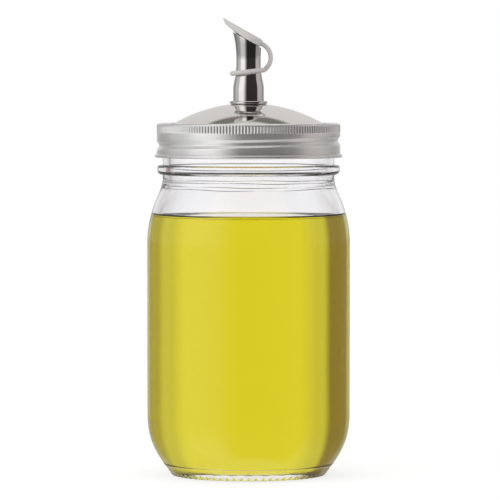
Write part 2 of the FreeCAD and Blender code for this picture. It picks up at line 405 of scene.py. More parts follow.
# Finishes


def grey(level: float) -> tuple[float, float, float, float]:
    """Plain grey, or white at 1, as a socket takes it."""
    return level, level, level, 1.0


class Nodes:
    """Small helper that adds and links nodes of one tree."""

    def __init__(self, tree: bpy.types.NodeTree) -> None:
        """Starts with an empty tree."""
        self.tree = tree
        tree.nodes.clear()

    def feed(self, node: bpy.types.Node, inputs: dict[str | int, object]) -> None:
        """Sets or links inputs of a node.

        Args:
            node: The node.
            inputs: Plain value, or socket to link, of each input by its name or number.
        """
        for name, value in inputs.items():
            if isinstance(value, Socket):
                self.tree.links.new(value, node.inputs[name])
            else:
                node.inputs[name].default_value = value

    def add(self, kind: str, inputs: dict[str | int, object] | None = None,
            **values: object) -> bpy.types.Node:
        """Adds a node.

        Args:
            kind: Type name of the node.
            inputs: Plain value, or socket to link, of each input by its name or number.
            values: Properties of the node by name.

        Returns:
            The node.
        """
        node = self.tree.nodes.new(kind)
        for name, value in values.items():
            setattr(node, name, value)
        self.feed(node, inputs or {})
        return node

    def math(self, operation: str, *terms: object) -> Socket:
        """Result of one step of arithmetic on sockets or numbers."""
        return self.add("ShaderNodeMath", dict(enumerate(terms)), operation=operation).outputs[0]

    def mix(self, share: Socket, plain: object, special: object) -> Socket:
        """Colour that goes from the plain one to the special one with a share."""
        inputs = {"Factor": share, "A": plain, "B": special}
        return self.add("ShaderNodeMix", inputs, data_type="RGBA").outputs["Result"]

    def group(self, tree: bpy.types.NodeTree, inputs: dict[str | int, object]) -> Socket:
        """Output of a node group that is placed with its own values."""
        return self.add("ShaderNodeGroup", inputs, node_tree=tree).outputs[0]

    def bump(self, height: Socket, depth: float) -> Socket:
        """Normal of a surface that a height between 0 and 1 raises by up to a depth in metres."""
        return self.add("ShaderNodeBump", {"Height": height, "Distance": depth}).outputs["Normal"]


def new_group(name: str, inputs: dict[str, float],
              output: str) -> tuple[bpy.types.NodeTree, Nodes, bpy.types.Node, bpy.types.Node]:
    """Shader node group with named number sockets.

    Args:
        name: Name of the group.
        inputs: Starting value of each input.
        output: Name of the output.

    Returns:
        The group, a helper for its nodes, the node that gives its inputs and the one that takes its output.
    """
    group = bpy.data.node_groups.new(name, "ShaderNodeTree")
    for label, value in inputs.items():
        socket = group.interface.new_socket(name=label, in_out="INPUT", socket_type="NodeSocketFloat")
        socket.default_value = value
    group.interface.new_socket(name=output, in_out="OUTPUT", socket_type="NodeSocketFloat")
    nodes = Nodes(group)
    return group, nodes, nodes.add("NodeGroupInput"), nodes.add("NodeGroupOutput")


class SharedEffects:
    """Node groups that several finishes use."""

    def __init__(self) -> None:
        """Builds each group once."""
        self.smudges = self.build_smudges()
        self.turned_lines = self.build_turned_lines()
        self.unevenness = self.build_unevenness()

    @staticmethod
    def build_smudges() -> bpy.types.NodeTree:
        """Roughness that wanders between two values, as on a surface that was wiped by hand.

        Returns:
            The group.
        """
        values = {"Scale": 60.0, "Low": 0.05, "High": 0.12}
        group, nodes, start, end = new_group("Wiped smudges", values, "Roughness")
        place = nodes.add("ShaderNodeTexCoord")
        noise = nodes.add("ShaderNodeTexNoise", {
            "Vector": place.outputs["Object"], "Scale": start.outputs["Scale"],
            "Detail": 5.0, "Roughness": 0.6})
        spread = nodes.add("ShaderNodeMapRange", {
            "Value": noise.outputs["Fac"], "From Min": 0.35, "From Max": 0.7,
            "To Min": start.outputs["Low"], "To Max": start.outputs["High"],
        }, interpolation_type="SMOOTHSTEP")
        nodes.feed(end, {"Roughness": spread.outputs["Result"]})
        return group

    @staticmethod
    def build_turned_lines() -> bpy.types.NodeTree:
        """Fine rings round the Z axis, as spinning and polishing on a lathe leave them.

        Returns:
            The group.
        """
        values = {"Lines per metre": 4000.0, "Waver": 0.3}
        group, nodes, start, end = new_group("Turned lines", values, "Height")
        place = nodes.add("ShaderNodeTexCoord")
        parts = nodes.add("ShaderNodeSeparateXYZ", {"Vector": place.outputs["Object"]}).outputs
        squares = [nodes.math("MULTIPLY", parts[axis], parts[axis]) for axis in ("X", "Y")]
        radius = nodes.math("SQRT", nodes.math("ADD", *squares))
        along = nodes.math("ADD", radius, parts["Z"])
        lines = nodes.add("ShaderNodeTexNoise", noise_dimensions="1D", inputs={
            "W": nodes.math("MULTIPLY", along, start.outputs["Lines per metre"]),
            "Scale": 1.0, "Detail": 3.0, "Distortion": start.outputs["Waver"]})
        nodes.feed(end, {"Height": lines.outputs["Fac"]})
        return group

    @staticmethod
    def build_unevenness() -> bpy.types.NodeTree:
        """Soft noise over a surface, for the waves of glass and the clouds and grain of silicone.

        Returns:
            The group.
        """
        group, nodes, start, end = new_group("Unevenness", {"Scale": 50.0, "Detail": 2.0}, "Height")
        place = nodes.add("ShaderNodeTexCoord")
        noise = nodes.add("ShaderNodeTexNoise", {
            "Vector": place.outputs["Object"], "Scale": start.outputs["Scale"],
            "Detail": start.outputs["Detail"]})
        nodes.feed(end, {"Height": noise.outputs["Fac"]})
        return group


def new_material(name: str) -> tuple[bpy.types.Material, Nodes, bpy.types.Node, bpy.types.Node]:
    """Material with a principled shader on its output.

    Args:
        name: Name of the material.

    Returns:
        The material, a helper for its nodes, the shader and the output.
    """
    material = bpy.data.materials.new(name)
    material.use_nodes = True
    nodes = Nodes(material.node_tree)
    shader = nodes.add("ShaderNodeBsdfPrincipled")
    output = nodes.add("ShaderNodeOutputMaterial", {"Surface": shader.outputs["BSDF"]})
    return material, nodes, shader, output


@dataclass(frozen=True)
class Smudges:
    """Wiped smudges of one finish: patches per metre, roughly, and the limits of the roughness."""

    scale: float
    low: float
    high: float

    def roughness(self, nodes: Nodes, effects: SharedEffects) -> Socket:
        """Places the shared group in a material and gives its roughness."""
        return nodes.group(effects.smudges, {"Scale": self.scale, "Low": self.low, "High": self.high})


@dataclass(frozen=True)
class GlassFinish:
    """Clear pressed glass, a little uneven.

    Its bending power is that of glass against air, or a small step where the oil wets it.
    """

    name: str
    ior: float
    colour: Colour = (0.985, 0.98, 0.99)
    smudges: Smudges = Smudges(45.0, 0.0, 0.015)
    wave_scale: float = 55.0
    wave_detail: float = 1.0
    wave_depth: float = 0.00006

    def material(self, effects: SharedEffects) -> bpy.types.Material:
        """Builds the material.

        Args:
            effects: The shared node groups.

        Returns:
            The material.
        """
        material, nodes, shader, _ = new_material(self.name)
        waves = nodes.group(effects.unevenness, {"Scale": self.wave_scale, "Detail": self.wave_detail})
        nodes.feed(shader, {
            "Base Color": (*self.colour, 1.0),
            "IOR": self.ior,
            "Transmission Weight": 1.0,
            "Roughness": self.smudges.roughness(nodes, effects),
            "Normal": nodes.bump(waves, self.wave_depth),
        })
        return material


@dataclass(frozen=True)
class OilFinish:
    """Yellow-green oil whose colour deepens with the way the light takes through it.

    Glass and oil bend light almost alike, so the oil's skin and the wetted glass carry small steps,
    whose ratio is that of glass to oil.
    """

    skin_ior: float = 1.03
    surface_ior: float = 1.47
    tint: Colour = (0.936, 0.904, 0.129)
    density: float = 48.0

    def clear(self, name: str, ior: float) -> tuple[bpy.types.Material, Nodes, bpy.types.Node]:
        """Clear material of the oil.

        Args:
            name: Name of the material.
            ior: How strongly it bends light.

        Returns:
            The material, a helper for its nodes and the output.
        """
        material, nodes, shader, output = new_material(name)
        nodes.feed(shader, {
            "Base Color": grey(1.0),
            "Roughness": 0.0,
            "IOR": ior,
            "Transmission Weight": 1.0,
        })
        return material, nodes, output

    def surface(self) -> bpy.types.Material:
        """Builds the material of the free surface."""
        return self.clear("Oil surface", self.surface_ior)[0]

    def skin(self) -> bpy.types.Material:
        """Builds the material of the hidden sides of the surface's film."""
        return self.clear("Oil under its surface", self.skin_ior)[0]

    def body(self) -> bpy.types.Material:
        """Builds the material of the body.

        Returns:
            The material.
        """
        material, nodes, output = self.clear("Yellow-green oil", self.skin_ior)
        depth = nodes.add("ShaderNodeVolumeAbsorption", {
            "Color": (*self.tint, 1.0), "Density": self.density})
        nodes.feed(output, {"Volume": depth.outputs["Volume"]})
        return material


@dataclass(frozen=True)
class SteelFinish:
    """Steel with fine turned lines and wiped smudges."""

    name: str
    colour: Colour
    smudges: Smudges
    lines_per_metre: float
    line_depth: float
    metallic: float = 1.0

    def material(self, effects: SharedEffects) -> bpy.types.Material:
        """Builds the material.

        Args:
            effects: The shared node groups.

        Returns:
            The material.
        """
        material, nodes, shader, _ = new_material(self.name)
        lines = nodes.group(effects.turned_lines, {"Lines per metre": self.lines_per_metre})
        nodes.feed(shader, {
            "Base Color": (*self.colour, 1.0),
            "Metallic": self.metallic,
            "Roughness": self.smudges.roughness(nodes, effects),
            "Normal": nodes.bump(lines, self.line_depth),
        })
        return material


@dataclass(frozen=True)
class SiliconeFinish:
    """Pale, slightly see-through silicone with a soft moulded skin."""

    colour: Colour = (0.70, 0.68, 0.65)
    shade: Colour = (0.67, 0.65, 0.62)
    ior: float = 1.42
    scatter: float = 0.06
    scatter_radius: Colour = (0.002, 0.0019, 0.0016)
    smudges: Smudges = Smudges(220.0, 0.38, 0.55)
    cloud_scale: float = 160.0
    grain_scale: float = 2600.0
    grain_depth: float = 0.0000012

    def material(self, effects: SharedEffects) -> bpy.types.Material:
        """Builds the material.

        Args:
            effects: The shared node groups.

        Returns:
            The material.
        """
        material, nodes, shader, _ = new_material("Pale silicone")
        cloud = nodes.group(effects.unevenness, {"Scale": self.cloud_scale})
        grain = nodes.group(effects.unevenness, {"Scale": self.grain_scale})
        nodes.feed(shader, {
            "Base Color": nodes.mix(cloud, (*self.shade, 1.0), (*self.colour, 1.0)),
            "IOR": self.ior,
            "Subsurface Weight": self.scatter,
            "Subsurface Radius": self.scatter_radius,
            "Roughness": self.smudges.roughness(nodes, effects),
            "Normal": nodes.bump(grain, self.grain_depth),
        })
        return material


POLISHED_STEEL = SteelFinish("Polished steel", (0.86, 0.845, 0.82), Smudges(70.0, 0.03, 0.06),
                             lines_per_metre=2600.0, line_depth=0.0000015)
SATIN_STEEL = SteelFinish("Satin steel", (0.96, 0.955, 0.94), Smudges(70.0, 0.28, 0.36),
                          lines_per_metre=5200.0, line_depth=0.000003, metallic=0.82)
# Steel of the band's hidden faces: its dark colour is painted shade inside the band; its higher roughness is
# the steel's own.
SHADED_INNER_STEEL = SteelFinish("Inner steel darkened as painted shade", (0.30, 0.30, 0.29), Smudges(70.0, 0.45, 0.55),
                         lines_per_metre=3000.0, line_depth=0.000004)


class Finishes:
    """The materials of the bottle, made once."""

    def __init__(self) -> None:
        """Makes each material."""
        effects = SharedEffects()
        oil = OilFinish()
        self.glass = GlassFinish("Clear pressed glass", ior=1.5).material(effects)
        self.wet_glass = GlassFinish("Clear pressed glass under oil", ior=1.051).material(effects)
        self.oil = oil.body()
        self.oil_surface = oil.surface()
        self.oil_skin = oil.skin()
        self.polished = POLISHED_STEEL.material(effects)
        self.satin = SATIN_STEEL.material(effects)
        # Steel darkened as painted shade, for the band's hidden faces.
        self.shaded_inner = SHADED_INNER_STEEL.material(effects)
        self.silicone = SiliconeFinish().material(effects)


# Sub-assemblies


@dataclass
class ThreadRelief:
    """Right-hand thread raised on, or rolled into, a turned surface.

    The middle of the thread climbs by pitch for each turn from the start angle and height.
    """

    pitch: float
    turns: float
    start_angle: float
    start_height: float
    depth: float
    crest_half_width: float
    foot_half_width: float
    fade_angle: float

    def rise(self, angle: np.ndarray, height: np.ndarray) -> np.ndarray:
        """Height of the thread over the plain surface.

        Args:
            angle: Angle of each point round the axis, from 0 to a full turn, in radians.
            height: Height of each point.

        Returns:
            Rise of the thread at each point.
        """
        total = np.zeros_like(height)
        end_angle = self.start_angle + 360.0 * self.turns
        for turn in range(math.ceil(end_angle / 360.0)):
            along = np.degrees(angle) + 360.0 * turn
            middle = self.start_height + self.pitch * (along - self.start_angle) / 360.0
            side = smooth_step(np.abs(height - middle), self.foot_half_width, self.crest_half_width)
            fade = (smooth_step(along, self.start_angle, self.start_angle + self.fade_angle)
                    * smooth_step(along, end_angle, end_angle - self.fade_angle))
            total = np.maximum(total, self.depth * side * fade)
        return total


@dataclass
class GlassJar:
    """Wide-mouth jar with heel, notched foot, shoulder, transfer bead and threaded neck.

    The unevenness of the settle waves is given by waves, each with its share, its count round the jar
    and its shift from ring to ring.
    """

    height: float = 168.2
    body_radius: float = 49.1
    wall: float = 3.3
    floor: float = 5.5
    floor_flat_radius: float = 33.0
    floor_pull: float = 6.4
    heel_height: float = 30.0
    heel_foot_radius: float = 37.2
    heel_slope: float = 35.0
    heel_body_pull: float = 15.0
    heel_foot_pull: float = 9.0
    heel_inside_pull: float = 14.0
    foot_round: float = 2.4
    foot_edge: float = 0.8
    foot_width: float = 2.6
    push_up: float = 2.2
    shoulder_top: float = 144.0
    shoulder_bottom: float = 112.0
    shoulder_body_pull: float = 18.0
    shoulder_neck_pull: float = 7.0
    neck_radius: float = 41.6
    mouth_radius: float = 38.1
    rim_round: float = 0.7
    bead_bottom: float = 145.5
    bead_top: float = 150.3
    bead_depth: float = 2.6
    bead_round: float = 2.0
    bead_corner: float = 4.0
    bead_points: int = 33
    thread_clearance: float = 0.1
    notches: int = 68
    notch_depth: float = 0.6
    notch_height: float = 1.2
    notch_fullness: float = 0.7
    steps_per_notch: int = 8
    seam_height: float = 5.4
    seam_depth: float = 0.22
    seam_half_width: float = 0.45
    seam_clearance: float = 0.5
    seam_margin: float = 1.0
    wave_heights: tuple[float, ...] = (143.3, 141.9, 139.9, 138.5)
    wave_depth: float = 0.24
    wave_above: float = 0.95
    wave_below: float = 0.3
    wave_wander: float = 0.2
    wave_mean: float = 0.7
    wander_waves: tuple[tuple[float, int, float], ...] = ((1.0, 3, 1.0), (0.6, 8, 2.3))
    strength_waves: tuple[tuple[float, int, float], ...] = ((0.3, 5, 1.7),)
    wave_margin_below: float = 1.5
    wave_margin_above: float = 0.5
    fine_parts: int = 6
    oil_level: float = 125.3
    oil_climb: float = 1.1

    def thread(self) -> ThreadRelief:
        """Screw thread on the neck."""
        return ThreadRelief(pitch=THREAD_PITCH, turns=1.0, start_angle=90.0, start_height=160.97, depth=1.4,
                            crest_half_width=0.3, foot_half_width=1.4, fade_angle=18.0)

    def outside(self) -> Outline:
        """Outline of the outer face.

        Returns:
            Points from the axis under the foot, up the outside and over the rim.
        """
        slope = math.radians(self.heel_slope)
        lean = (math.sin(slope), math.cos(slope))
        heel_start = (self.heel_foot_radius + lean[0] * self.foot_round, lean[1] * self.foot_round)
        heel_leave = (heel_start[0] + lean[0] * self.heel_foot_pull,
                      heel_start[1] + lean[1] * self.heel_foot_pull)
        foot_outer = self.heel_foot_radius - self.foot_edge
        foot_inner = foot_outer - self.foot_width
        dish = (foot_inner ** 2 + self.push_up ** 2) / (2 * self.push_up)
        dish_angle = math.degrees(math.asin(foot_inner / dish))
        rim = self.height - self.rim_round
        corner = (self.heel_foot_radius, 0.0)
        return joined(
            arc((0.0, self.push_up - dish), dish, 90.0, 90.0 - dish_angle, steps=14),
            straight((foot_inner, 0.0), (foot_outer, 0.0), steps=5),
            bezier((foot_outer, 0.0), corner, corner, heel_start, steps=6),
            bezier(heel_start, heel_leave, (self.body_radius, self.heel_height - self.heel_body_pull),
                   (self.body_radius, self.heel_height), steps=28),
            straight((self.body_radius, self.heel_height),
                     (self.body_radius, self.shoulder_bottom), steps=12),
            bezier((self.body_radius, self.shoulder_bottom),
                   (self.body_radius, self.shoulder_bottom + self.shoulder_body_pull),
                   (self.neck_radius, self.shoulder_top - self.shoulder_neck_pull),
                   (self.neck_radius, self.shoulder_top), steps=28),
            straight((self.neck_radius, self.shoulder_top), (self.neck_radius, self.bead_bottom), steps=3),
            self.bead(),
            straight((self.neck_radius, self.bead_top), (self.neck_radius, rim), steps=56),
            arc((self.neck_radius - self.rim_round, rim), self.rim_round, 0.0, 90.0, steps=5),
            straight((self.neck_radius - self.rim_round, self.height),
                     (self.mouth_radius + self.rim_round, self.height)),
            arc((self.mouth_radius + self.rim_round, rim), self.rim_round, 90.0, 180.0, steps=5),
        )

    def bead(self) -> Outline:
        """Transfer bead: round below, and flatter with a tight corner above.

        Returns:
            Points from the bottom of the bead to its top.
        """
        half = (self.bead_top - self.bead_bottom) / 2
        points = []
        for turn in np.linspace(-math.pi / 2, math.pi / 2, self.bead_points):
            power = 2 / (self.bead_round if turn < 0 else self.bead_corner)
            rise = math.copysign(abs(math.sin(turn)) ** power, turn)
            points.append((self.neck_radius + self.bead_depth * abs(math.cos(turn)) ** power,
                           self.bead_bottom + half * (1 + rise)))
        points[0] = (self.neck_radius, self.bead_bottom)
        points[-1] = (self.neck_radius, self.bead_top)
        return points

    def inside(self) -> Outline:
        """Outline of the hollow.

        Returns:
            Points from the rim down to the axis.
        """
        side = self.body_radius - self.wall
        flat = (self.floor_flat_radius, self.floor)
        return joined(
            straight((self.mouth_radius, self.height - self.rim_round),
                     (self.mouth_radius, self.shoulder_top), steps=8),
            bezier((self.mouth_radius, self.shoulder_top),
                   (self.mouth_radius, self.shoulder_top - self.shoulder_neck_pull),
                   (side, self.shoulder_bottom + self.shoulder_body_pull), (side, self.shoulder_bottom),
                   steps=40),
            straight((side, self.shoulder_bottom), (side, self.heel_height), steps=12),
            bezier((side, self.heel_height), (side, self.heel_height - self.heel_inside_pull),
                   (flat[0] + self.floor_pull, flat[1]), flat, steps=28),
            straight(flat, (0.0, self.floor), steps=6),
        )

    @staticmethod
    def uneven(angle: np.ndarray, number: int, waves: tuple[tuple[float, int, float], ...]) -> np.ndarray:
        """Sum of waves round the axis, for one ring of the settle waves."""
        return sum(share * np.sin(count * angle + shift * number) for share, count, shift in waves)

    def settle_waves(self, angle: np.ndarray, height: np.ndarray) -> np.ndarray:
        """Low uneven rings that the pressing leaves inside, where the neck meets the shoulder.

        Args:
            angle: Angle of each point.
            height: Height of each point.

        Returns:
            How far each point of the inner wall moves inward.
        """
        total = np.zeros_like(height)
        for number, middle in enumerate(self.wave_heights):
            strength = self.wave_mean + self.uneven(angle, number, self.strength_waves)
            away = height - middle - self.wave_wander * self.uneven(angle, number, self.wander_waves)
            side = np.clip(np.minimum(1 - away / self.wave_above, 1 + away / self.wave_below), 0.0, 1.0)
            total = np.maximum(total, self.wave_depth * strength * side)
        return total

    def relief(self, angle: np.ndarray, radius: np.ndarray,
               height: np.ndarray) -> tuple[np.ndarray, np.ndarray]:
        """Thread on the neck, waves under it inside, mould seam on the heel and notches round the foot.

        Args:
            angle: Angle of each point.
            radius: Radius of each point on the plain form.
            height: Height of each point on the plain form.

        Returns:
            Radius and height of each point with the relief on it.
        """
        on_neck = (radius > self.neck_radius - SLACK) & (height > self.bead_top + self.thread_clearance)
        in_neck = (radius < self.neck_radius - self.rim_round) & (height > self.shoulder_bottom)
        radius = radius + np.where(on_neck, self.thread().rise(angle, height), 0.0)
        radius = radius - np.where(in_neck, self.settle_waves(angle, height), 0.0)
        on_heel = (radius > self.heel_foot_radius + self.seam_clearance) & (height < 2 * self.seam_height)
        seam = smooth_step(np.abs(height - self.seam_height), self.seam_half_width, 0.0)
        radius = radius + np.where(on_heel, self.seam_depth * seam, 0.0)
        foot_inner = self.heel_foot_radius - self.foot_edge - self.foot_width
        on_foot = (height < self.notch_height) & (radius > foot_inner - SLACK)
        lens = np.clip(np.cos(angle * self.notches), 0.0, 1.0) ** self.notch_fullness
        outer = smooth_step(radius, foot_inner, foot_inner + self.foot_width)
        inner = smooth_step(height, self.notch_height, 0.0)
        height = height + np.where(on_foot, self.notch_depth * lens * outer * inner, 0.0)
        return radius, height

    def build(self, finishes: Finishes) -> None:
        """Makes the jar's piece and marks the glass that the oil wets.

        Args:
            finishes: Materials of the bottle.
        """
        seam = (self.seam_height - self.seam_margin, self.seam_height + self.seam_margin)
        waves = (min(self.wave_heights) - self.wave_margin_below,
                 self.shoulder_top + self.wave_margin_above)
        outline = joined(refined(self.outside(), *seam, self.fine_parts),
                         refined(self.inside(), *waves, self.fine_parts))
        mesh = turned_mesh("jar_glass_body", outline, self.notches * self.steps_per_notch, closed=False,
                           sharp=50.0, relief=self.relief)
        add_piece(mesh, Body.JAR, Slot.GLASS, finishes.glass, "glass_jar")
        height, upward, outward = face_sides(mesh)
        faces_hollow = (outward < -SIDE_LIMIT) | (upward > LEVEL_LIMIT)
        wet = faces_hollow & (height > self.floor / 2) & (height < self.oil_level + self.oil_climb)
        mark_faces(mesh, wet, finishes.wet_glass)


@dataclass
class OilFill:
    """Oil that wets the glass and climbs a little at its edge.

    Its skin lies just inside the glass, so that light passes from glass to oil with no air between.
    """

    jar: GlassJar
    overlap: float = 0.1
    climb_width: float = 2.6
    climb_pull: float = 1.56
    climb_lean: float = 0.15
    film: float = 0.3

    def build(self, finishes: Finishes) -> None:
        """Makes the body of the oil and the film of its surface."""
        self.build_body(finishes)
        self.build_surface(finishes)

    def wall(self, top: float) -> Outline:
        """Skin against the glass.

        Args:
            top: Height where it starts.

        Returns:
            Points from there down to the axis.
        """
        inside = [(radius + self.overlap if radius > 0 else 0.0, height - self.overlap)
                  for radius, height in self.jar.inside()]
        below = [point for point in inside if point[1] < top]
        last = inside[len(inside) - len(below) - 1]
        share = (top - below[0][1]) / (last[1] - below[0][1])
        edge = below[0][0] + (last[0] - below[0][0]) * share
        return [(edge, top)] + below

    def build_body(self, finishes: Finishes) -> None:
        """Makes the coloured body, up to just under the surface.

        Args:
            finishes: Materials of the bottle.
        """
        top = self.jar.oil_level - self.film / 2
        mesh = turned_mesh("oil_body", [(0.0, top)] + self.wall(top), ROUND_STEPS, closed=False, sharp=50.0)
        add_piece(mesh, Body.JAR, Slot.OIL, finishes.oil, "oil_fill")

    def build_surface(self, finishes: Finishes) -> None:
        """Makes the surface, which climbs a little at the glass and bends light as oil does against air.

        Args:
            finishes: Materials of the bottle.
        """
        level = self.jar.oil_level
        edge = self.wall(level + self.jar.oil_climb)[0]
        under = self.wall(level - self.film)[0]
        start = (edge[0] - self.climb_width, level)
        outline = joined(
            straight((0.0, level), start, steps=4),
            bezier(start, (start[0] + self.climb_pull, level),
                   (edge[0] - self.climb_lean, level + self.jar.oil_climb / 3), edge, steps=12),
            straight(edge, under, steps=3),
            straight(under, (0.0, under[1]), steps=4),
        )
        mesh = turned_mesh("oil_surface", outline, ROUND_STEPS, closed=False, sharp=50.0)
        add_piece(mesh, Body.JAR, Slot.OIL, finishes.oil_surface)
        _, upward, outward = face_sides(mesh)
        mark_faces(mesh, (upward < -LEVEL_LIMIT) | (outward > SIDE_LIMIT), finishes.oil_skin)


@dataclass
class LidDome:
    """Domed insert of polished sheet with a flat flange and a hole for the spout."""

    foot_radius: float = 37.0
    foot_round: float = 0.7
    dome_height: float = 10.3
    sheet: float = 0.5
    flange_radius: float = 42.8
    flange_top: float = 169.85
    hole_radius: float = 6.45
    skin_points: int = 40

    def skin_height(self, radius: float, depth: float) -> float:
        """Height at a radius of the face that lies a depth under the outer one.

        Args:
            radius: Distance from the axis.
            depth: Distance of the face from the outer one.

        Returns:
            The height.
        """
        sphere = (self.foot_radius ** 2 + self.dome_height ** 2) / (2 * self.dome_height)
        centre = self.flange_top + self.dome_height - sphere
        return centre + math.sqrt((sphere - depth) ** 2 - radius ** 2)

    def skin(self, start: float, end: float, depth: float) -> Outline:
        """Run along one face of the dome from one radius to another."""
        radii = np.linspace(start, end, self.skin_points)
        return [(float(radius), self.skin_height(float(radius), depth)) for radius in radii]

    def build(self, finishes: Finishes) -> None:
        """Makes the dome's piece.

        Args:
            finishes: Materials of the bottle.
        """
        foot = self.foot_radius - self.foot_round
        inner_foot = foot - self.sheet / 2
        bend = self.foot_radius + self.foot_round
        under = self.flange_top - self.sheet
        corner = (self.foot_radius, self.flange_top)
        inner_corner = (self.foot_radius - self.sheet / 2, under)
        outline = joined(
            self.skin(self.hole_radius, foot, 0.0),
            bezier((foot, self.skin_height(foot, 0.0)), corner, corner, (bend, self.flange_top), steps=8),
            straight((bend, self.flange_top), (self.flange_radius, self.flange_top), steps=2),
            straight((self.flange_radius, self.flange_top), (self.flange_radius, under)),
            straight((self.flange_radius, under), (bend, under), steps=2),
            bezier((bend, under), inner_corner, inner_corner,
                   (inner_foot, self.skin_height(inner_foot, self.sheet)), steps=8),
            self.skin(inner_foot, self.hole_radius, self.sheet),
        )
        mesh = turned_mesh("lid_dome_skin", outline, ROUND_STEPS, closed=True, sharp=40.0)
        add_piece(mesh, Body.LID, Slot.POLISHED, finishes.polished, "lid_dome")


@dataclass
class ScrewBand:
    """Band of satin sheet with a rolled thread, a knurled grip and a curled lower edge."""

    inner_radius: float = 43.95
    sheet: float = 0.5
    bottom: float = 153.9
    top: float = 170.5
    lip_radius: float = 38.0
    top_round: float = 1.3
    curl_height: float = 1.7
    curl_depth: float = 1.05
    flutes: int = 180
    flute_depth: float = 0.36
    flute_bottom: float = 166.0
    flute_top: float = 169.4
    flute_fade: float = 0.3
    steps_per_flute: int = 8

    def thread(self) -> ThreadRelief:
        """Thread rolled inward from the plain band."""
        return ThreadRelief(pitch=THREAD_PITCH, turns=0.85, start_angle=117.0, start_height=158.81,
                            depth=1.15, crest_half_width=0.1, foot_half_width=2.5, fade_angle=24.0)

    def outline(self) -> Outline:
        """Closed outline of the sheet.

        Returns:
            Points from the lip over the outside and back up the inside.
        """
        outer = self.inner_radius + self.sheet
        curl_top = self.bottom + self.curl_height
        half = self.curl_height / 2
        curl_radius = (half ** 2 + self.curl_depth ** 2) / (2 * self.curl_depth)
        curl_angle = 180.0 - math.degrees(math.asin(half / curl_radius))
        curl_centre = (outer + self.curl_depth - curl_radius, self.bottom + half)
        inner_round = self.top_round - self.sheet
        under = self.top - self.sheet
        return joined(
            straight((self.lip_radius, self.top), (outer - self.top_round, self.top), steps=3),
            arc((outer - self.top_round, self.top - self.top_round), self.top_round, 90.0, 0.0, steps=8),
            straight((outer, self.top - self.top_round), (outer, curl_top), steps=60),
            arc(curl_centre, curl_radius, curl_angle, -curl_angle, steps=14),
            straight((outer, self.bottom), (self.inner_radius, self.bottom)),
            straight((self.inner_radius, self.bottom), (self.inner_radius, under - inner_round), steps=48),
            arc((self.inner_radius - inner_round, under - inner_round), inner_round, 0.0, 90.0, steps=5),
            straight((self.inner_radius - inner_round, under), (self.lip_radius, under), steps=2),
        )

    def relief(self, angle: np.ndarray, radius: np.ndarray,
               height: np.ndarray) -> tuple[np.ndarray, np.ndarray]:
        """Rolled thread and knurled flutes.

        Args:
            angle: Angle of each point.
            radius: Radius of each point on the plain form.
            height: Height of each point on the plain form.

        Returns:
            Radius and height of each point with the relief on it.
        """
        outer = self.inner_radius + self.sheet
        on_skirt = (radius > self.inner_radius - SLACK) & (radius < outer + SLACK)
        zone = (smooth_step(height, self.flute_bottom - self.flute_fade, self.flute_bottom + self.flute_fade)
                * smooth_step(height, self.flute_top + self.flute_fade, self.flute_top - self.flute_fade))
        wave = (1 - np.cos(angle * self.flutes)) / 2
        depth = self.thread().rise(angle, height) + self.flute_depth * zone * wave
        return radius - np.where(on_skirt, depth, 0.0), height

    def build(self, finishes: Finishes) -> None:
        """Makes the band's piece, with rougher, darker steel on its hidden faces, whose darkness is painted
        shade.

        Args:
            finishes: Materials of the bottle.
        """
        mesh = turned_mesh("screw_band_sheet", self.outline(), self.flutes * self.steps_per_flute,
                           closed=True, sharp=50.0, relief=self.relief)
        add_piece(mesh, Body.BAND, Slot.SATIN, finishes.satin, "screw_band")
        _, upward, outward = face_sides(mesh)
        # Inward and downward faces take the steel darkened as painted shade.
        mark_faces(mesh, (outward < -SIDE_LIMIT) | (upward < -LEVEL_LIMIT), finishes.shaded_inner)


